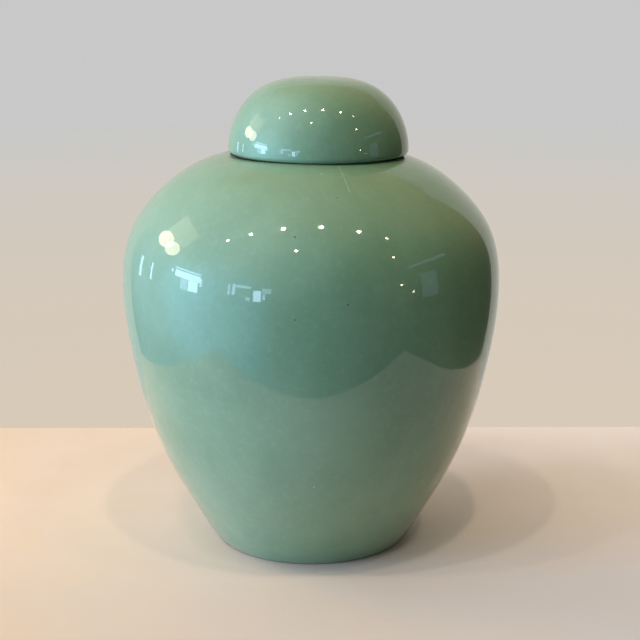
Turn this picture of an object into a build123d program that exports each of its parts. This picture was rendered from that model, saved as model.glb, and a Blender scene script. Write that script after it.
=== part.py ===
from build123d import *
import os

# Lidded ginger jar: a turned stoneware jar and its loose domed lid.
# Millimetres. Z is up, and the origin is the centre of the foot, on the plane that the jar stands on.
# Each piece is one closed half-section, revolved about its own upright axis.

# Jar, outside
SEAT_HEIGHT = 210.0                   # level ring round the neck, which carries the lid
SEAT_RADIUS = 45.0                    # where the level ring ends and the shoulder starts to fall
FOOT_RADIUS = 52.3                    # wall where it meets the table
WALL_POINTS = [
    (62.0, 15.0), (80.6, 50.0), (95.5, 100.0), (100.5, 140.0),
    (95.6, 170.0), (81.0, 190.0), (64.0, 203.0),
]
WALL_DIRECTION_AT_FOOT = (0.62, 0.78)
WALL_DIRECTION_AT_SEAT = (-1.0, 0.18)

# Jar, foot ring
FOOT_RING_INNER_RADIUS = 44.0
FOOT_RECESS = 4.0                     # the base inside the ring is hollowed by this much
FOOT_RECESS_RADIUS = 42.0
FOOT_EDGE_ROUNDING = 1.2

# Jar, inside
FLOOR_HEIGHT = 11.5
FLOOR_CORNER_RADIUS = 50.6
FLOOR_ROUNDING = 25.0
INNER_WALL_POINTS = [(75.3, 52.8), (90.1, 101.0), (95.0, 140.0), (90.4, 167.4), (77.0, 186.0), (61.0, 198.0)]
INNER_WALL_DIRECTION_AT_FLOOR = (0.6, 0.8)
INNER_WALL_DIRECTION_AT_NECK = (-1.0, 0.1)
CEILING_HEIGHT = 205.6                # underside of the shoulder, where it meets the neck
CEILING_ROUNDING = 6.0

# Jar, neck
NECK_RADIUS = 35.5
NECK_WALL = 5.0
NECK_HEIGHT = 14.0
NECK_LIP_ROUNDING = 2.4
NECK_ROOT_ROUNDING = 1.5

# Lid, with heights from its rim and radii from its own axis
LID_SHIFT = 3.9                       # the lid sits this far to +X of the jar's axis
LID_HEIGHT = 40.0
LID_RIM_RADIUS = 47.5
LID_RIM_ROUNDING = 2.5
LID_POINTS = [(45.3, 15.0), (38.8, 26.8), (28.6, 35.1), (15.2, 39.1)]
LID_INNER_RADIUS = 40.5
LID_INNER_STRAIGHT = 10.0             # the inside is upright as far as this
LID_INNER_POINTS = [(38.6, 17.5), (31.0, 26.5), (18.0, 32.3)]
LID_WALL_AT_TOP = 6.0
LID_INNER_EDGE_ROUNDING = 1.0

UP = (0.0, 1.0)
INWARDS = (-1.0, 0.0)
EVEN_PULL = (1.0, 1.0)                # both ends of a curve hold its direction equally firmly

os.makedirs("parts", exist_ok=True)

mouth_radius = NECK_RADIUS - NECK_WALL
lip_height = SEAT_HEIGHT + NECK_HEIGHT
lid_inner_height = LID_HEIGHT - LID_WALL_AT_TOP


def corners(section, *places):
    """The section's corners that lie nearest to the given (radius, height) places."""
    return [section.vertices().sort_by_distance((radius, height, 0))[0] for radius, height in places]


# Jar: foot ring, swelling wall, level seat and upright neck, hollow inside
with BuildPart() as jar:
    with BuildSketch(Plane.XZ) as jar_section:
        with BuildLine():
            Polyline(
                (0, FOOT_RECESS), (FOOT_RECESS_RADIUS, FOOT_RECESS),
                (FOOT_RING_INNER_RADIUS, 0), (FOOT_RADIUS, 0),
            )
            Spline(
                (FOOT_RADIUS, 0), *WALL_POINTS, (SEAT_RADIUS, SEAT_HEIGHT),
                tangents=(WALL_DIRECTION_AT_FOOT, WALL_DIRECTION_AT_SEAT), tangent_scalars=EVEN_PULL,
            )
            Polyline(
                (SEAT_RADIUS, SEAT_HEIGHT), (NECK_RADIUS, SEAT_HEIGHT), (NECK_RADIUS, lip_height),
                (mouth_radius, lip_height), (mouth_radius, CEILING_HEIGHT),
            )
            Spline(
                (FLOOR_CORNER_RADIUS, FLOOR_HEIGHT), *INNER_WALL_POINTS, (mouth_radius, CEILING_HEIGHT),
                tangents=(INNER_WALL_DIRECTION_AT_FLOOR, INNER_WALL_DIRECTION_AT_NECK),
                tangent_scalars=EVEN_PULL,
            )
            Polyline((FLOOR_CORNER_RADIUS, FLOOR_HEIGHT), (0, FLOOR_HEIGHT), (0, FOOT_RECESS))
        make_face()
        fillet(corners(jar_section, (FLOOR_CORNER_RADIUS, FLOOR_HEIGHT)), FLOOR_ROUNDING)
        fillet(corners(jar_section, (mouth_radius, CEILING_HEIGHT)), CEILING_ROUNDING)
        fillet(corners(jar_section, (FOOT_RADIUS, 0), (FOOT_RING_INNER_RADIUS, 0)), FOOT_EDGE_ROUNDING)
        fillet(corners(jar_section, (NECK_RADIUS, SEAT_HEIGHT)), NECK_ROOT_ROUNDING)
        fillet(corners(jar_section, (NECK_RADIUS, lip_height), (mouth_radius, lip_height)), NECK_LIP_ROUNDING)
    revolve(axis=Axis.Z)

jar.part.label = "jar"
export_step(jar.part, "parts/jar.step")

# Lid: a thick dome with a level rim, turned about an axis LID_SHIFT away from the jar's
lid_plane = Plane((LID_SHIFT, 0, SEAT_HEIGHT), x_dir=(1, 0, 0), z_dir=(0, -1, 0))
with BuildPart() as lid:
    with BuildSketch(lid_plane) as lid_section:
        with BuildLine():
            Polyline(
                (LID_INNER_RADIUS, LID_INNER_STRAIGHT), (LID_INNER_RADIUS, 0),
                (LID_RIM_RADIUS, 0), (LID_RIM_RADIUS, LID_RIM_ROUNDING),
            )
            Spline(
                (LID_RIM_RADIUS, LID_RIM_ROUNDING), *LID_POINTS, (0, LID_HEIGHT),
                tangents=(UP, INWARDS), tangent_scalars=EVEN_PULL,
            )
            Line((0, LID_HEIGHT), (0, lid_inner_height))
            Spline(
                (LID_INNER_RADIUS, LID_INNER_STRAIGHT), *LID_INNER_POINTS, (0, lid_inner_height),
                tangents=(UP, INWARDS), tangent_scalars=EVEN_PULL,
            )
        make_face()
        fillet(corners(lid_section, (LID_INNER_RADIUS, 0)), LID_INNER_EDGE_ROUNDING)
        fillet(corners(lid_section, (LID_RIM_RADIUS, 0)), LID_RIM_ROUNDING)
    revolve(axis=Axis((LID_SHIFT, 0, SEAT_HEIGHT), (0, 0, 1)))

lid.part.label = "lid"
export_step(lid.part, "parts/lid.step")
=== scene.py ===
import math
import bpy
import numpy as np
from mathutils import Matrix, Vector


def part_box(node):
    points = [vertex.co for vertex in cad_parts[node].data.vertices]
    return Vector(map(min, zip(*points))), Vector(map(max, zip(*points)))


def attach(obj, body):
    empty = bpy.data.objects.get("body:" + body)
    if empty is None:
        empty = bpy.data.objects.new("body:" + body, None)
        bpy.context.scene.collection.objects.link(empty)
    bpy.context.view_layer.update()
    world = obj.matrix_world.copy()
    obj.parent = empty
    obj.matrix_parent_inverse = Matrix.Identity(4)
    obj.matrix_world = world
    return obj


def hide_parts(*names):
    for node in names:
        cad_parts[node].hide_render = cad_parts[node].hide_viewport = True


# Ginger jar: the looks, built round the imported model. Outlines are (radius, height) in millimetres, as
# turned pottery is drawn, and every finished mesh is in metres. +Z is up and the jar's axis is x = y = 0.

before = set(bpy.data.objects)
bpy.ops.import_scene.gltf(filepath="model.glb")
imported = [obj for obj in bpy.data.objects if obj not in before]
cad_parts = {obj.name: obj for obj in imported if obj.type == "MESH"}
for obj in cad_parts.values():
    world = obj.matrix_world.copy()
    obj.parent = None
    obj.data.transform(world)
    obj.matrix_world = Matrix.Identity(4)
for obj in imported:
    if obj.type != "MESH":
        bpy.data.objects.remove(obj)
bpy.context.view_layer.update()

MM = 0.001
UP, DOWN = (0.0, 1.0), (0.0, -1.0)
OUTWARDS, INWARDS = (1.0, 0.0), (-1.0, 0.0)

jar_low, jar_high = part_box("jar")
lid_low, lid_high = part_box("lid")


# ---------------------------------------------------------------- the jar's outline, as the part has it

SEAT = lid_low.z / MM      # height of the ring round the neck that carries the lid
SEAT_RADIUS = 45.0
LIP = jar_high.z / MM      # height of the top of the neck
FOOT_RADIUS = 52.3
FOOT_ROUNDING = 1.2
RECESS_TOP = 4.0
RECESS_RADIUS = 42.0
RECESS_ROUNDING = 1.0
RING_INNER_RADIUS = 44.0
RING_SLOPE = (RING_INNER_RADIUS - RECESS_RADIUS, -RECESS_TOP)
WALL = [
    (62.0, 15.0), (80.6, 50.0), (95.5, 100.0), (100.5, 140.0),
    (95.6, 170.0), (81.0, 190.0), (64.0, 203.0),
]
WALL_AT_FOOT = (0.62, 0.78)
WALL_AT_SEAT = (-1.0, 0.18)
NECK_RADIUS = 35.5
NECK_ROOT_ROUNDING = 1.5
LIP_ROUNDING = 2.4
MOUTH_RADIUS = 30.5
CEILING_HEIGHT = 205.6     # where the bore opens out under the shoulder
CEILING_OUTWARDS = (1.0, -0.1)
CEILING_ROUNDING = 6.0
INSIDE = [(61.0, 198.0), (77.0, 186.0), (90.4, 167.4), (95.0, 140.0), (90.1, 101.0), (75.3, 52.8)]
INSIDE_AT_FLOOR = (-0.6, -0.8)
FLOOR_HEIGHT = 11.5
FLOOR_CORNER = 50.6
FLOOR_ROUNDING = 25.0

# The wall's curve is drawn finely, then thinned, but less just above the foot, where the glaze begins
WALL_STEPS = 2000
WALL_BY_FOOT = slice(4, 44, 6)
WALL_ABOVE = slice(44, -16, 16)
JAR_SEGMENTS = 288


# ---------------------------------------------------------------- the lid's outline, heights from its rim

LID_AXIS = (0.5 * (lid_low.x + lid_high.x), 0.0)     # the lid sits a little to one side
LID_RIM = 0.5 * (lid_high.x - lid_low.x) / MM
LID_TOP = (lid_high.z - lid_low.z) / MM
LID_ROUNDING = 2.5
LID_WALL = [(45.3, 15.0), (38.8, 26.8), (28.6, 35.1), (15.2, 39.1)]
LID_INNER_RADIUS = 40.5
LID_STRAIGHT = 10.0
LID_INSIDE = [(18.0, 32.3), (31.0, 26.5), (38.6, 17.5)]
LID_INNER_TOP = 34.0
LID_EDGE_ROUNDING = 1.0
LID_SEGMENTS = 240
RIM_LIFT = 0.8             # the lid's rim warped in firing and stands this much clear on its -X side
RIM_LIFT_REACH = 16.0      # and the warp dies out this far above the rim


# ---------------------------------------------------------------- bare clay and unevenness, in millimetres

GLAZE_STEP = 0.22          # bare clay lies this far below the glaze beside it
GLAZE_EDGE = 0.2           # length of the step down at a glaze edge
BARE_SEAT_RADIUS = 42.5    # the seat is bare inside this radius, under the lid's rim
BARE_MOUTH = 3.5           # depth of bare clay inside the mouth
LID_BARE_INSIDE = 3.0      # height of bare clay inside the lid's rim
FOOT_BARE_POINTS = 3       # points of the foot's rounding that are bare right through
RIM_BARE_POINTS = 4        # points of the lid's outer rounding before the glaze begins
SAME_POINT = 0.01          # points of an outline closer than this are one
WOBBLE_FADE_RADIUS = 12.0  # inside this radius the wobble dies out towards the axis
EDGE_WANDER_REACH = 1.6    # how far along the wall a glaze edge's wandering dies out

# Waves of unevenness: how many go round the piece, their length up the wall, and their size
WALL_WAVES = [
    (2, 900.0, 0.10), (3, 260.0, 0.05), (5, -190.0, 0.04),
    (4, 95.0, 0.030), (7, -80.0, 0.018), (1, 13.0, 0.0035),
]
LID_WAVES = [(2, 300.0, 0.06), (3, -90.0, 0.03), (5, 70.0, 0.015), (1, 9.0, 0.002)]
EDGE_WAVES = [(2, 1e6, 0.10), (5, 1e6, 0.10), (9, 1e6, 0.07), (17, 1e6, 0.04)]


# ---------------------------------------------------------------- glaze and clay

CELADON = (0.200, 0.335, 0.210)
CELADON_DEEP = (0.155, 0.280, 0.170)
CELADON_PALE = (0.270, 0.395, 0.265)
IRON = (0.045, 0.035, 0.025)
PALE_PIN = (0.62, 0.72, 0.62)
# The bare clay's own colour, made darker as painted shade so the bare strips at the foot and under the lid's
# rim read as dark shade lines
CLAY = (0.34, 0.285, 0.225)
CLAY_DARK = (0.22, 0.18, 0.135)

# How strongly each mark covers the glaze
MOTTLE_STRENGTH = 0.25
GRAIN_STRENGTH = 0.12
IRON_STRENGTH = 0.8
PIN_STRENGTH = 0.7
HAIRLINE_STRENGTH = 0.3

# Depths of relief, in millimetres
PEEL_DEPTH = 0.010
PIN_DEPTH = 0.06
CLAY_GRAIN_DEPTH = 0.05

CLAY_ROUGHNESS = 0.82
GLAZE_ROUGHNESS = (0.34, 0.42)
GLAZE_IOR = 1.45
GLAZE_SPECULAR = 0.1       # the glaze's body hardly shines: its gloss is the clear coat's
COAT_ROUGHNESS = 0.035
COAT_IOR = 1.52

# Marks scattered over the glaze: spacing and radius in millimetres, the share of places that have one, and a
# shift in metres that keeps the two kinds apart
SCATTERED_IRON = {"spacing": 14.0, "radius": 0.32, "share": 0.22, "shift": 0.0}
SCATTERED_PINS = {"spacing": 17.0, "radius": 0.3, "share": 0.16, "shift": 0.37}

# Marks in their own places: place in metres, radius in millimetres
IRON_SPECKS = [
    ((-0.0076, -0.0883, 0.1812), 0.75), ((-0.0076, -0.1002, 0.1439), 0.5),
    ((0.0127, -0.0715, 0.1973), 0.45), ((0.0173, -0.0986, 0.1508), 0.6),
]
PINHOLES = [((0.0013, -0.0823, 0.0542), 0.5)]

# A pale line down the shoulder from under the lid, in metres, and its radius in millimetres
HAIRLINE = [
    (0.0136, -0.0462, 0.2094), (0.0153, -0.0540, 0.2067),
    (0.0169, -0.0607, 0.2035), (0.0187, -0.0670, 0.1995),
]
HAIRLINE_RADIUS = 0.36

# The share of a mark's radius that is solid, before it fades out
SPOT_CORE = 0.4
DOT_CORE = 0.45
STREAK_CORE = 0.3


# ---------------------------------------------------------------- stage, in metres

TABLE_LOW = (-0.290, -0.228, -0.004)
TABLE_HIGH = (0.280, 0.181, 0.0)
# Painted light and shade on the plain table: warm lamplight on the left, a lighter lit tone on the right,
# and cool painted shade towards the viewer on the right
TABLE_LEFT_LAMPLIT = (0.77, 0.58, 0.43)
TABLE_RIGHT_LIT = (0.91, 0.80, 0.76)
TABLE_NEAR_SHADE = (0.62, 0.63, 0.68)
TABLE_NEAR_FROM, TABLE_NEAR_TO = 0.05, -0.11
TABLE_PATCH = 0.05         # how far faint patches shift the change from left to right
TABLE_ROUGHNESS = 0.6

BACKDROP_RADIUS = 5.0
BACKDROP_DROP = 0.008
BACKDROP_HEIGHT = 3.0
BACKDROP_SEGMENTS = 96
# Painted light: the backdrop glows warmer and a little brighter near the jar, as if lit from the table, and
# turns to an even far tone
BACKDROP_NEAR_WARM_LIGHT = (0.69, 0.59, 0.475)
BACKDROP_FAR_GLOW = (0.575, 0.58, 0.575)
BACKDROP_GLOW_REACH = (0.2, 2.2)

BACK_PANEL_HEIGHT = 0.42
BACK_PANEL_THICKNESS = 0.002
BACK_PANEL_GLOW = (0.60, 0.59, 0.53)

CAMERA_PLACE = (0.0, -0.7627, 0.3053)
CAMERA_PITCH = 13.69
CAMERA_TURN = 0.36
CAMERA_LENS = 81.56
CAMERA_SENSOR = 36.0


# ---------------------------------------------------------------- lights, in metres, degrees and watts

LOOKED_AT = Vector((0.0, 0.0, 0.15))
FAR = 3.5                  # from the jar to the lights of the room

SPOT_COLOUR = (1.0, 0.86, 0.62)
SPOT_RADIUS = 0.035
ROOM_CEILING = 1.95        # above the table

# Two rows of ceiling spots: the row's y, then x and power for each spot
SPOT_ROWS = {
    -0.62: [(-1.60, 8.0), (-1.00, 11.0), (-0.42, 17.0), (0.16, 20.0), (0.77, 13.0), (1.37, 1.5)],
    -1.55: [(-0.31, 7.0), (2.30, 4.0)],
}

# Two low lights across the room: azimuth, elevation, power
LOW_LIGHTS = [(53.5, 6.5, 3.0), (61.0, 0.5, 1.5)]

# Windows, each a few panes: azimuth, elevation, width, height, brightness
DAYLIGHT = (5.2, 7.6, 10.5)
WINDOWS = {
    "side": [
        (-78.0, 11.2, 20.5, 1.1, 0.9), (-77.5, 7.5, 19.5, 4.5, 1.2), (-72.5, 1.8, 7.0, 6.6, 1.3),
        (-67.0, 5.5, 1.5, 5.0, 0.9), (-79.2, 1.8, 5.5, 6.5, 0.45), (-90.0, 8.0, 1.7, 2.0, 1.0),
    ],
    "front": [
        (-48.0, 5.0, 1.2, 7.5, 0.65), (-45.0, 5.5, 2.0, 8.0, 0.7), (-39.0, 8.0, 9.0, 2.0, 0.55),
        (-30.5, 2.0, 4.5, 8.0, 1.1), (-25.0, 6.0, 5.5, 4.0, 0.4), (-26.5, 1.5, 1.5, 4.0, 0.65),
        (-36.0, -0.5, 3.0, 2.5, 0.5),
    ],
    "far": [(-109.0, 1.0, 1.5, 8.5, 0.9), (-122.0, -0.5, 3.0, 9.0, 0.5)],
    "dim": [
        (73.0, 4.0, 12.0, 17.0, 0.06), (77.0, 21.0, 30.0, 2.5, 0.08),
        (39.0, 5.5, 3.0, 5.0, 0.06), (29.0, 7.5, 8.0, 2.0, 0.05),
    ],
}

# A lamp with two round shades close by on the left, and its glow on the wall:
# azimuth, elevation, width, height, colour, shape, distance
LAMP_COLOUR = (8.0, 6.6, 4.6)
LAMP = {
    "lamp_0": (-101.0, 23.5, 15.5, 9.5, LAMP_COLOUR, "ELLIPSE", 0.46),
    "lamp_1": (-92.0, 21.5, 12.5, 10.0, LAMP_COLOUR, "ELLIPSE", 0.53),
    "lamp_on_wall": (-97.0, 33.0, 22.0, 13.0, (1.5, 1.2, 0.75), "RECTANGLE", 0.58),
}

# Daylight low from the left: azimuth, elevation, width, height, colour
DAY_FILL = (-75.0, 2.0, 20.0, 14.0, (15.0, 13.5, 24.5))

# The room that the glaze mirrors, as soft patches of light: azimuth, elevation, spread, colour
ROOM = {
    "all_round": (0.0, 90.0, 180.0, (0.015, 0.012, 0.01)),
    "left": (-88.0, 12.0, 34.0, (0.52, 0.65, 0.90)),
    "left_high": (-80.0, 45.0, 25.0, (0.56, 0.55, 0.50)),
    "left_near": (-80.0, 0.0, 14.0, (0.16, 0.60, 1.00)),
    "low_left": (-60.0, -8.0, 22.0, (0.30, 0.98, 1.50)),
    "front": (-35.0, 38.0, 25.0, (0.38, 0.44, 0.44)),
    "back": (180.0, 50.0, 35.0, (0.52, 0.34, 0.16)),
}
WIDEST_REACH = 179.0       # a patch fades out before the point opposite its middle


# ---------------------------------------------------------------- drawing outlines

def unit(direction):
    """The direction at length one."""
    direction = np.array(direction, float)
    return direction / np.linalg.norm(direction)


def travel(points):
    """An outline's direction at each of its points."""
    along = np.gradient(points, axis=0)
    return along / np.linalg.norm(along, axis=1)[:, None]


def into_clay(along):
    """The direction into the clay, which lies to the left of an outline's travel."""
    return np.stack([-along[:, 1], along[:, 0]], axis=1)


def curve(points, leaving, arriving, steps):
    """Points along the smooth curve through the given ones, with its directions at both ends."""
    points = np.array(points, float)
    spans = np.linalg.norm(np.diff(points, axis=0), axis=1)
    along = np.concatenate([[0.0], np.cumsum(spans)])
    count = len(points)
    matrix = np.eye(count)
    target = np.zeros((count, 2))
    target[0] = unit(leaving)
    target[-1] = unit(arriving)
    for i in range(1, count - 1):
        before, after = spans[i - 1], spans[i]
        matrix[i, i - 1:i + 2] = after, 2 * (before + after), before
        step_in, step_out = points[i] - points[i - 1], points[i + 1] - points[i]
        target[i] = 3 * (after / before * step_in + before / after * step_out)
    slopes = np.linalg.solve(matrix, target)
    places = np.linspace(0.0, along[-1], steps)
    span = np.clip(np.searchsorted(along, places, side="right") - 1, 0, count - 2)
    width = spans[span][:, None]
    t = (places - along[span])[:, None] / width
    return (
        points[span] * (1 + 2 * t) * (1 - t) ** 2 + slopes[span] * width * t * (1 - t) ** 2
        + points[span + 1] * t * t * (3 - 2 * t) + slopes[span + 1] * width * t * t * (t - 1)
    )


def line(start, end, steps):
    """Points along a straight stretch."""
    t = np.linspace(0.0, 1.0, steps + 1)[:, None]
    return np.array(start, float) * (1 - t) + np.array(end, float) * t


def rounding(corner, arriving, leaving, radius, steps):
    """The arc that rounds a corner between two straight directions."""
    corner, arriving, leaving = np.array(corner, float), unit(arriving), unit(leaving)
    turn = math.atan2(arriving[0] * leaving[1] - arriving[1] * leaving[0], arriving @ leaving)
    inwards = math.copysign(1.0, turn) * np.array([-arriving[1], arriving[0]])
    centre = corner - arriving * radius * abs(math.tan(turn / 2)) + inwards * radius
    angles = np.linspace(0.0, turn, steps)
    out = -inwards * radius
    return np.stack([
        centre[0] + out[0] * np.cos(angles) - out[1] * np.sin(angles),
        centre[1] + out[0] * np.sin(angles) + out[1] * np.cos(angles),
    ], axis=1)


def sunk(points, first, last):
    """The stretch moved into the clay, by first at its start to last at its end."""
    depth = np.linspace(first, last, len(points))[:, None]
    return points + depth * into_clay(travel(points))


def outline(*stretches):
    """Joins (points, glazed) stretches into one outline and says which of its points are glazed."""
    points = np.concatenate([points for points, glazed in stretches])
    glaze = np.concatenate([np.full(len(points), float(glazed)) for points, glazed in stretches])
    apart = np.linalg.norm(np.diff(points, axis=0), axis=1) > SAME_POINT
    keep = np.concatenate([[True], apart])
    return points[keep], glaze[keep]


def jar_outline():
    """From the middle of the base, out and up the wall, over the neck and down the inside to the floor."""
    recess = rounding((RECESS_RADIUS, RECESS_TOP), OUTWARDS, RING_SLOPE, RECESS_ROUNDING, steps=5)
    ring_inner = rounding((RING_INNER_RADIUS, 0), RING_SLOPE, OUTWARDS, FOOT_ROUNDING, steps=7)
    ring_outer = rounding((FOOT_RADIUS, 0), OUTWARDS, WALL_AT_FOOT, FOOT_ROUNDING, steps=7)
    wall = curve([ring_outer[-1], *WALL, (SEAT_RADIUS, SEAT)], WALL_AT_FOOT, WALL_AT_SEAT, WALL_STEPS)
    root = rounding((NECK_RADIUS, SEAT), INWARDS, UP, NECK_ROOT_ROUNDING, steps=6)
    lip_outer = rounding((NECK_RADIUS, LIP), UP, INWARDS, LIP_ROUNDING, steps=9)
    lip_inner = rounding((MOUTH_RADIUS, LIP), INWARDS, DOWN, LIP_ROUNDING, steps=9)
    bore_glaze = LIP - BARE_MOUTH
    ceiling = rounding((MOUTH_RADIUS, CEILING_HEIGHT), DOWN, CEILING_OUTWARDS, CEILING_ROUNDING, steps=10)
    floor = rounding((FLOOR_CORNER, FLOOR_HEIGHT), INSIDE_AT_FLOOR, INWARDS, FLOOR_ROUNDING, steps=14)
    inside = curve([ceiling[-1], *INSIDE, floor[0]], CEILING_OUTWARDS, INSIDE_AT_FLOOR, steps=70)
    return outline(
        (line((0, RECESS_TOP), recess[0], steps=14), True),
        (recess, True),
        (sunk(line(recess[-1], ring_inner[0], steps=6)[1:], GLAZE_STEP, 0.0), False),
        (ring_inner, False),
        (line(ring_inner[-1], ring_outer[0], steps=6), False),
        (ring_outer[:FOOT_BARE_POINTS], False),
        (sunk(ring_outer[FOOT_BARE_POINTS:], 0.0, GLAZE_STEP), False),
        (wall[WALL_BY_FOOT], True),
        (wall[WALL_ABOVE], True),
        (line((SEAT_RADIUS, SEAT), (BARE_SEAT_RADIUS, SEAT), steps=5), True),
        (sunk(line((BARE_SEAT_RADIUS - GLAZE_EDGE, SEAT), root[0], steps=6), GLAZE_STEP, 0.0), False),
        (root, False),
        (line(root[-1], lip_outer[0], steps=10), False),
        (lip_outer, False),
        (lip_inner, False),
        (sunk(line(lip_inner[-1], (MOUTH_RADIUS, bore_glaze), steps=3), 0.0, GLAZE_STEP), False),
        (line((MOUTH_RADIUS, bore_glaze - GLAZE_EDGE), ceiling[0], steps=8), True),
        (ceiling, True),
        (inside, True),
        (floor, True),
        (line(floor[-1], (0, FLOOR_HEIGHT), steps=12), True),
    )


def lid_outline():
    """From under the top of the dome, down the inside, across the rim and up the outside."""
    straight_top = (LID_INNER_RADIUS, LID_STRAIGHT)
    glaze_end = (LID_INNER_RADIUS, LID_BARE_INSIDE)
    bare_start = (LID_INNER_RADIUS, LID_BARE_INSIDE - GLAZE_EDGE)
    inside = curve([(0, LID_INNER_TOP), *LID_INSIDE, straight_top], OUTWARDS, DOWN, steps=60)
    inner_edge = rounding((LID_INNER_RADIUS, 0), DOWN, OUTWARDS, LID_EDGE_ROUNDING, steps=6)
    outer_edge = rounding((LID_RIM, 0), OUTWARDS, UP, LID_ROUNDING, steps=15)
    dome = curve([outer_edge[-1], *LID_WALL, (0, LID_TOP)], UP, INWARDS, steps=110)
    return outline(
        (inside, True),
        (line(straight_top, glaze_end, steps=6)[1:], True),
        (sunk(line(bare_start, inner_edge[0], steps=3), GLAZE_STEP, 0.0), False),
        (inner_edge, False),
        (line(inner_edge[-1], outer_edge[0], steps=5), False),
        (sunk(outer_edge[1:RIM_BARE_POINTS], 0.0, GLAZE_STEP), False),
        (outer_edge[RIM_BARE_POINTS:], True),
        (dome[1:], True),
    )


def rim_warp(angles, height):
    """How much the warp of its rim raises a point of the lid: most on the -X side, none on the +X side."""
    fade = max(0.0, 1.0 - height / RIM_LIFT_REACH)
    side = 0.5 - 0.5 * np.cos(angles)
    return RIM_LIFT * fade * fade * side * side


# ---------------------------------------------------------------- turned pieces

class Wobble:
    """The small unevenness of a hand-finished piece: a few long, shallow waves round and up its wall."""

    def __init__(self, seed, waves):
        rng = np.random.default_rng(seed)
        self.waves = [(rounds, length, size, rng.uniform(0, math.tau)) for rounds, length, size in waves]

    def at(self, angle, height):
        """The unevenness in millimetres."""
        total = 0.0
        for rounds, length, size, phase in self.waves:
            total = total + size * np.sin(rounds * angle + math.tau * height / length + phase)
        return total


wall_wobble = Wobble(seed=7, waves=WALL_WAVES)
lid_wobble = Wobble(seed=11, waves=LID_WAVES)
edge_wander = Wobble(seed=3, waves=EDGE_WAVES)


def add_mesh(name, verts, faces, material):
    """A new object in the scene."""
    mesh = bpy.data.meshes.new(name)
    mesh.from_pydata(verts, [], faces)
    mesh.materials.append(material)
    thing = bpy.data.objects.new(name, mesh)
    bpy.context.scene.collection.objects.link(thing)
    return thing


def turned_faces(rings, segments):
    """The faces between rings of points, and the fans that close both ends on the axis."""
    last_ring = 1 + (rings - 1) * segments
    end = last_ring + segments
    faces = []
    for j in range(segments):
        k = (j + 1) % segments
        faces.append((0, 1 + k, 1 + j))
        for low in range(1, last_ring, segments):
            high = low + segments
            faces.append((low + j, low + k, high + k, high + j))
        faces.append((end, last_ring + j, last_ring + k))
    return faces


def turned_piece(name, shape, segments, wobble, material, axis=(0.0, 0.0), base=0.0, lift=None):
    """A closed turned mesh. The wobble moves its glazed points out, and its glaze edges wander."""
    points, glaze = shape
    angles = np.linspace(0.0, math.tau, segments, endpoint=False)
    along = travel(points)
    out = -into_clay(along)
    reach = np.concatenate([[0.0], np.cumsum(np.linalg.norm(np.diff(points, axis=0), axis=1))])
    edges = reach[:-1][np.diff(glaze) != 0]
    near_edge = sum(np.exp(-((reach - edge) / EDGE_WANDER_REACH) ** 2) for edge in edges)
    verts = []
    for i, (radius, height) in enumerate(points):
        if i in (0, len(points) - 1):
            verts.append((axis[0], axis[1], (height + base) * MM))
            continue
        sway = wobble.at(angles, height) * glaze[i] * min(1.0, radius / WOBBLE_FADE_RADIUS)
        slide = edge_wander.at(angles, reach[i]) * near_edge[i]
        r = radius + out[i, 0] * sway + along[i, 0] * slide
        z = height + base + out[i, 1] * sway + along[i, 1] * slide
        if lift is not None:
            z = z + lift(angles, height)
        verts.extend(zip(axis[0] + r * np.cos(angles) * MM, axis[1] + r * np.sin(angles) * MM, z * MM))
    piece = add_mesh(name, verts, turned_faces(len(points) - 2, segments), material)
    mesh = piece.data
    mesh.validate()
    mesh.polygons.foreach_set("use_smooth", [True] * len(mesh.polygons))
    share = np.concatenate([glaze[:1], np.repeat(glaze[1:-1], segments), glaze[-1:]])
    attribute = mesh.attributes.new("glaze", "FLOAT", "POINT")
    attribute.data.foreach_set("value", share.astype(np.float32))
    return piece


# ---------------------------------------------------------------- materials

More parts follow.
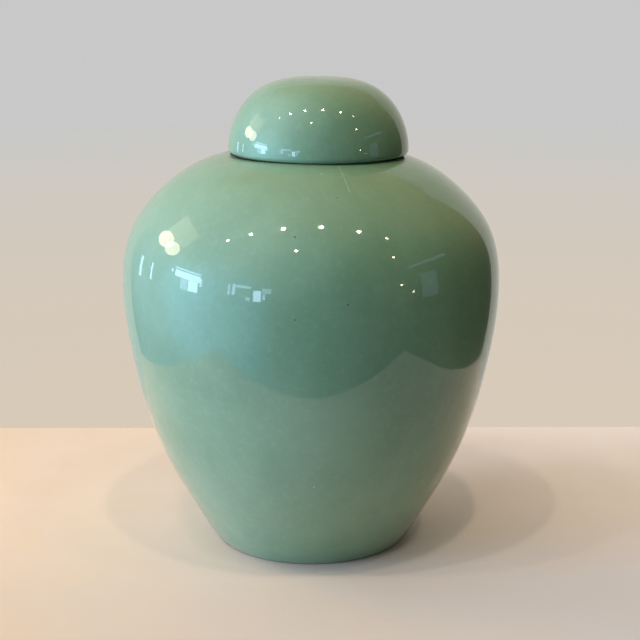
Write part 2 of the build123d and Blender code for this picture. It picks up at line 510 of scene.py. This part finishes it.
class Shader:
    """A material's nodes, added one at a time."""

    def __init__(self, name):
        self.material = bpy.data.materials.new(name)
        self.material.use_nodes = True
        self.tree = self.material.node_tree
        self.surface = self.tree.nodes["Principled BSDF"]
        self.place = self.tree.nodes.new("ShaderNodeTexCoord").outputs["Object"]

    def put(self, socket, value):
        """Feeds a socket from another node, or with a plain value."""
        if isinstance(value, bpy.types.NodeSocket):
            self.tree.links.new(value, socket)
        elif isinstance(value, tuple) and len(value) == 3 and socket.type == "RGBA":
            socket.default_value = (*value, 1.0)
        else:
            socket.default_value = value

    def give(self, **values):
        """Sets the surface's own values. An underscore stands for a space in a value's name."""
        for name, value in values.items():
            self.put(self.surface.inputs[name.replace("_", " ")], value)

    def sums(self, operation, *values):
        """A sum on numbers."""
        node = self.tree.nodes.new("ShaderNodeMath")
        node.operation = operation
        for socket, value in zip(node.inputs, values):
            self.put(socket, value)
        return node.outputs[0]

    def vectors(self, operation, *values):
        """A sum on vectors. Scaling, lengths and dot products have their own sockets."""
        node = self.tree.nodes.new("ShaderNodeVectorMath")
        node.operation = operation
        sockets = [socket for socket in node.inputs if socket.enabled]
        for socket, value in zip(sockets, values):
            self.put(socket, value)
        return next(socket for socket in node.outputs if socket.enabled)

    def between(self, value, low, high, new_low=0.0, new_high=1.0, smooth=True):
        """The value taken from one range to another, held at both ends."""
        node = self.tree.nodes.new("ShaderNodeMapRange")
        node.interpolation_type = "SMOOTHSTEP" if smooth else "LINEAR"
        for socket, number in zip(node.inputs, (value, low, high, new_low, new_high)):
            self.put(socket, number)
        return node.outputs[0]

    def noise(self, size, detail, roughness):
        """Soft noise whose features are about size millimetres across."""
        node = self.tree.nodes.new("ShaderNodeTexNoise")
        self.put(node.inputs["Vector"], self.place)
        self.put(node.inputs["Scale"], 1.0 / (size * MM))
        self.put(node.inputs["Detail"], detail)
        self.put(node.inputs["Roughness"], roughness)
        return node.outputs["Fac"]

    def spots(self, spacing, radius, share, shift):
        """One inside small round spots, about spacing millimetres apart, in only a share of their places."""
        cells = self.tree.nodes.new("ShaderNodeTexVoronoi")
        self.put(cells.inputs["Vector"], self.vectors("ADD", self.place, (shift, shift, shift)))
        self.put(cells.inputs["Scale"], 1.0 / (spacing * MM))
        near = self.between(cells.outputs["Distance"], radius / spacing, SPOT_CORE * radius / spacing)
        split = self.tree.nodes.new("ShaderNodeSeparateColor")
        self.put(split.inputs[0], cells.outputs["Color"])
        chosen = self.sums("LESS_THAN", split.outputs[0], share)
        return self.sums("MULTIPLY", near, chosen)

    def dot(self, place, radius):
        """One inside a small round mark at a place in metres, fading at its edge."""
        away = self.vectors("DISTANCE", self.place, place)
        return self.between(away, radius * MM, DOT_CORE * radius * MM)

    def streak(self, start, end, radius):
        """One inside a thin straight mark between two places in metres, fading at its edges."""
        along = Vector(end) - Vector(start)
        offset = self.vectors("SUBTRACT", self.place, start)
        share = self.vectors("DOT_PRODUCT", offset, along / along.length_squared)
        held = self.sums("MINIMUM", self.sums("MAXIMUM", share, 0.0), 1.0)
        away = self.vectors("DISTANCE", offset, self.vectors("SCALE", along, held))
        return self.between(away, radius * MM, STREAK_CORE * radius * MM)

    def mix(self, share, first, second, kind="RGBA"):
        """From the first colour to the second as the share goes from 0 to 1. Kind FLOAT is for numbers."""
        node = self.tree.nodes.new("ShaderNodeMix")
        node.data_type = kind
        self.put(node.inputs["Factor"], share)
        self.put(node.inputs["A"], first)
        self.put(node.inputs["B"], second)
        return node.outputs["Result"]

    def bump(self, height, distance, strength=1.0, normal=None):
        """Relief: height from 0 to 1 stands for distance millimetres."""
        node = self.tree.nodes.new("ShaderNodeBump")
        self.put(node.inputs["Strength"], strength)
        self.put(node.inputs["Distance"], distance * MM)
        self.put(node.inputs["Height"], height)
        if normal is not None:
            self.put(node.inputs["Normal"], normal)
        return node.outputs["Normal"]


def glaze_marks(shader, scattered, placed):
    """One inside the marks of one kind: those scattered over the glaze and those in their own places."""
    marks = shader.spots(**scattered)
    for place, radius in placed:
        marks = shader.sums("MAXIMUM", marks, shader.dot(place, radius))
    return marks


def hairline(shader):
    """One along the pale line down the shoulder."""
    share = 0.0
    for start, end in zip(HAIRLINE, HAIRLINE[1:]):
        share = shader.sums("MAXIMUM", share, shader.streak(start, end, HAIRLINE_RADIUS))
    return share


def glaze_colour(shader, iron, pins):
    """Pale green with soft clouding and fine mottling, and its marks."""
    cloud = shader.between(shader.noise(size=55.0, detail=3.0, roughness=0.55), low=0.3, high=0.7)
    mottle = shader.noise(size=3.2, detail=4.0, roughness=0.62)
    mottle = shader.between(mottle, low=0.45, high=0.75, new_high=MOTTLE_STRENGTH)
    grain = shader.noise(size=0.7, detail=2.0, roughness=0.6)
    grain = shader.between(grain, low=0.35, high=0.7, new_low=GRAIN_STRENGTH, new_high=0.0)
    green = shader.mix(cloud, CELADON_DEEP, CELADON)
    green = shader.mix(mottle, green, CELADON_PALE)
    green = shader.mix(grain, green, CELADON_DEEP)
    green = shader.mix(shader.sums("MULTIPLY", iron, IRON_STRENGTH), green, IRON)
    green = shader.mix(shader.sums("MULTIPLY", pins, PIN_STRENGTH), green, PALE_PIN)
    return shader.mix(shader.sums("MULTIPLY", hairline(shader), HAIRLINE_STRENGTH), green, PALE_PIN)


def clay_colour(shader):
    """Bare clay with a fine, uneven tone: its own colour, made darker as painted shade so the bare strips at
    the foot and under the lid's rim read as dark shade lines.
    """
    tone = shader.noise(size=1.1, detail=5.0, roughness=0.7)
    return shader.mix(shader.between(tone, low=0.35, high=0.7), CLAY_DARK, CLAY)


def relief(shader, glazed, pins):
    """The glaze's soft ripple and its pinholes, and the bare clay's grain."""
    peel = shader.bump(shader.noise(size=6.0, detail=2.0, roughness=0.5), PEEL_DEPTH)
    pits = shader.bump(shader.sums("SUBTRACT", 1.0, pins), PIN_DEPTH, normal=peel)
    grain = shader.noise(size=0.5, detail=4.0, roughness=0.7)
    return shader.bump(grain, CLAY_GRAIN_DEPTH, shader.sums("SUBTRACT", 1.0, glazed), pits)


def celadon(name):
    """Pale green glaze over buff clay, which shows bare where the piece's glaze share is none."""
    shader = Shader(name)
    attribute = shader.tree.nodes.new("ShaderNodeAttribute")
    attribute.attribute_name = "glaze"
    glazed = shader.between(attribute.outputs["Fac"], low=0.35, high=0.65)
    iron = glaze_marks(shader, SCATTERED_IRON, IRON_SPECKS)
    pins = glaze_marks(shader, SCATTERED_PINS, PINHOLES)
    sheen = shader.noise(size=9.0, detail=3.0, roughness=0.6)
    sheen = shader.between(sheen, 0.3, 0.7, *GLAZE_ROUGHNESS, smooth=False)
    shader.give(
        Base_Color=shader.mix(glazed, clay_colour(shader), glaze_colour(shader, iron, pins)),
        Roughness=shader.mix(glazed, CLAY_ROUGHNESS, sheen, kind="FLOAT"),
        IOR=GLAZE_IOR,
        Specular_IOR_Level=GLAZE_SPECULAR,
        Coat_Weight=glazed,
        Coat_Roughness=COAT_ROUGHNESS,
        Coat_IOR=COAT_IOR,
        Normal=relief(shader, glazed, pins),
    )
    return shader.material


def table_surface(name):
    """A plain pale surface with painted light and shade. Its tone turns from warm painted lamplight on the
    left to a lighter lit tone on the right, and, on the right, to cool painted shade towards the viewer.
    """
    shader = Shader(name)
    split = shader.tree.nodes.new("ShaderNodeSeparateXYZ")
    shader.put(split.inputs[0], shader.place)
    across = shader.between(split.outputs["X"], TABLE_LOW[0], TABLE_HIGH[0], smooth=False)
    patches = shader.noise(size=40.0, detail=4.0, roughness=0.6)
    patches = shader.between(patches, 0.3, 0.7, -TABLE_PATCH, TABLE_PATCH)
    near = shader.between(split.outputs["Y"], TABLE_NEAR_FROM, TABLE_NEAR_TO)
    # painted shade: the right side turns cooler and darker towards the viewer
    right = shader.mix(near, TABLE_RIGHT_LIT, TABLE_NEAR_SHADE)
    shader.give(
        Base_Color=shader.mix(shader.sums("ADD", across, patches), TABLE_LEFT_LAMPLIT, right),
        Roughness=TABLE_ROUGHNESS,
    )
    return shader.material


def glow_surface(name, tone, far_tone=None, reach=None):
    """A surface that only shines. Any far tone takes over between two distances from the jar."""
    shader = Shader(name)
    if far_tone is not None:
        distance = shader.vectors("LENGTH", shader.place)
        tone = shader.mix(shader.between(distance, *reach, smooth=False), tone, far_tone)
    shader.give(Base_Color=(0.0, 0.0, 0.0), Specular_IOR_Level=0.0)
    shader.give(Emission_Color=tone, Emission_Strength=1.0)
    return shader.material


# ---------------------------------------------------------------- stage

def stage_slab(name, low, high, material):
    """A flat block from its low to its high corner."""
    corners = [(x, y, z) for z in (low[2], high[2]) for y in (low[1], high[1]) for x in (low[0], high[0])]
    faces = [(0, 2, 3, 1), (4, 5, 7, 6), (0, 1, 5, 4), (1, 3, 7, 5), (3, 2, 6, 7), (2, 0, 4, 6)]
    slab = add_mesh(name, corners, faces, material)
    return slab


def add_backdrop():
    """A plain round floor that sweeps up at its far edge, its glow painted light that is warmer near the
    table. It lights nothing and isn't mirrored.
    """
    points = np.concatenate([
        line((0.0, 0.0), (BACKDROP_RADIUS - BACKDROP_HEIGHT, 0.0), steps=8),
        rounding((BACKDROP_RADIUS, 0.0), OUTWARDS, UP, BACKDROP_HEIGHT, steps=24)[1:],
    ])
    angles = np.linspace(0.0, math.tau, BACKDROP_SEGMENTS, endpoint=False)
    verts = [(r * math.cos(a), r * math.sin(a), z - BACKDROP_DROP) for r, z in points for a in angles]
    faces = []
    for i in range(len(points) - 1):
        low, high = i * BACKDROP_SEGMENTS, (i + 1) * BACKDROP_SEGMENTS
        for j in range(BACKDROP_SEGMENTS):
            k = (j + 1) % BACKDROP_SEGMENTS
            faces.append((low + j, low + k, high + k, high + j))
    glow = glow_surface("backdrop_glow", BACKDROP_NEAR_WARM_LIGHT, BACKDROP_FAR_GLOW, BACKDROP_GLOW_REACH)
    backdrop = add_mesh("backdrop", verts, faces, glow)
    backdrop.visible_glossy = False
    backdrop.visible_diffuse = False
    backdrop.visible_shadow = False


def add_back_panel():
    """A glowing panel on the table's far edge, which only the glaze and the table see."""
    low = (TABLE_LOW[0], TABLE_HIGH[1], 0.0)
    high = (TABLE_HIGH[0], TABLE_HIGH[1] + BACK_PANEL_THICKNESS, BACK_PANEL_HEIGHT)
    panel = stage_slab("back_panel", low, high, glow_surface("back_panel_glow", BACK_PANEL_GLOW))
    panel.visible_camera = False
    panel.visible_shadow = False


def add_camera():
    """The camera, in front of the jar and a little above it."""
    data = bpy.data.cameras.new("camera")
    data.lens = CAMERA_LENS
    data.sensor_width = CAMERA_SENSOR
    camera = bpy.data.objects.new("camera", data)
    camera.location = CAMERA_PLACE
    camera.rotation_euler = (math.radians(90.0 - CAMERA_PITCH), 0.0, math.radians(-CAMERA_TURN))
    bpy.context.scene.collection.objects.link(camera)
    bpy.context.scene.camera = camera


# ---------------------------------------------------------------- lights

def towards(azimuth, elevation):
    """The direction at an azimuth from the viewer's side, towards +X, and an elevation, in degrees."""
    azimuth, elevation = math.radians(azimuth), math.radians(elevation)
    level = math.cos(elevation)
    return Vector((math.sin(azimuth) * level, -math.cos(azimuth) * level, math.sin(elevation)))


def add_light(name, kind, place, colour, power):
    """A light that the camera doesn't see."""
    data = bpy.data.lights.new(name, kind)
    data.color = colour
    data.energy = power
    light = bpy.data.objects.new(name, data)
    light.location = place
    light.visible_camera = False
    bpy.context.scene.collection.objects.link(light)
    return light


def add_bulb(name, place, power):
    """A small round light."""
    add_light(name, "POINT", place, SPOT_COLOUR, power).data.shadow_soft_size = SPOT_RADIUS


def soft_light(name, azimuth, elevation, width, height, colour, shape="RECTANGLE", distance=FAR):
    """A flat light that faces the jar. Width and height are the angles it fills; colour is its radiance."""
    across = 2 * distance * math.tan(math.radians(width) / 2)
    upright = 2 * distance * math.tan(math.radians(height) / 2)
    area = across * upright * (math.pi / 4 if shape == "ELLIPSE" else 1.0)
    strength = max(colour)
    tint = [part / strength for part in colour]
    place = LOOKED_AT + towards(azimuth, elevation) * distance
    light = add_light(name, "AREA", place, tint, strength * math.pi * area)
    light.rotation_euler = (LOOKED_AT - place).to_track_quat("-Z", "Y").to_euler()
    light.data.shape = shape
    light.data.size = across
    light.data.size_y = upright
    return light


def add_room_lights():
    """The ceiling spots and the two low lights across the room."""
    for row, (y, spots) in enumerate(SPOT_ROWS.items()):
        for number, (x, power) in enumerate(spots):
            add_bulb(f"spot_{row}_{number}", (x, y, ROOM_CEILING), power)
    for number, (azimuth, elevation, power) in enumerate(LOW_LIGHTS):
        add_bulb(f"low_{number}", LOOKED_AT + towards(azimuth, elevation) * FAR, power)


def add_windows():
    """The windows, pane by pane."""
    for window, panes in WINDOWS.items():
        for number, (*placing, brightness) in enumerate(panes):
            colour = tuple(brightness * part for part in DAYLIGHT)
            soft_light(f"{window}_window_{number}", *placing, colour)


def add_day_fill():
    """Daylight that reaches the jar low from the left, too spread out to show as a reflection of its own."""
    fill = soft_light("day_fill", *DAY_FILL)
    fill.visible_glossy = False


def room_patch(tree, direction, name, azimuth, elevation, spread, colour):
    """A soft patch of light on the room round the jar, which fades out at twice its spread."""
    facing = tree.nodes.new("ShaderNodeVectorMath")
    facing.operation = "DOT_PRODUCT"
    facing.inputs[1].default_value = towards(azimuth, elevation)
    tree.links.new(direction, facing.inputs[0])
    fall = tree.nodes.new("ShaderNodeMapRange")
    fall.interpolation_type = "SMOOTHSTEP"
    fall.inputs["From Min"].default_value = math.cos(math.radians(min(WIDEST_REACH, 2 * spread)))
    fall.inputs["From Max"].default_value = 1.0
    tree.links.new(facing.outputs["Value"], fall.inputs["Value"])
    patch = tree.nodes.new("ShaderNodeVectorMath")
    patch.operation = "SCALE"
    patch.name = "room_" + name
    patch.inputs[0].default_value = colour
    tree.links.new(fall.outputs[0], patch.inputs["Scale"])
    return patch.outputs[0]


def add_room():
    """The world: all the room's patches of light together."""
    world = bpy.data.worlds.new("room")
    bpy.context.scene.world = world
    world.use_nodes = True
    tree = world.node_tree
    direction = tree.nodes.new("ShaderNodeTexCoord").outputs["Generated"]
    total, *others = [room_patch(tree, direction, name, *patch) for name, patch in ROOM.items()]
    for patch in others:
        both = tree.nodes.new("ShaderNodeVectorMath")
        both.operation = "ADD"
        tree.links.new(total, both.inputs[0])
        tree.links.new(patch, both.inputs[1])
        total = both.outputs[0]
    tree.links.new(total, tree.nodes["Background"].inputs["Color"])


# ---------------------------------------------------------------- the scene

glazed_clay = celadon("celadon_glaze_over_clay")
jar = turned_piece("glazed_jar", jar_outline(), JAR_SEGMENTS, wall_wobble, glazed_clay)
lid = turned_piece(
    "glazed_lid", lid_outline(), LID_SEGMENTS, lid_wobble, glazed_clay,
    axis=LID_AXIS, base=SEAT, lift=rim_warp,
)
for piece, body in ((jar, "jar"), (lid, "lid")):
    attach(piece, body)
    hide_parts(body)

stage_slab("table_top", TABLE_LOW, TABLE_HIGH, table_surface("pale_table"))
add_backdrop()
add_back_panel()
add_room_lights()
add_windows()
for name, placing in LAMP.items():
    soft_light(name, *placing)
add_day_fill()
add_room()
add_camera()
bpy.context.scene.view_settings.view_transform = "Standard"
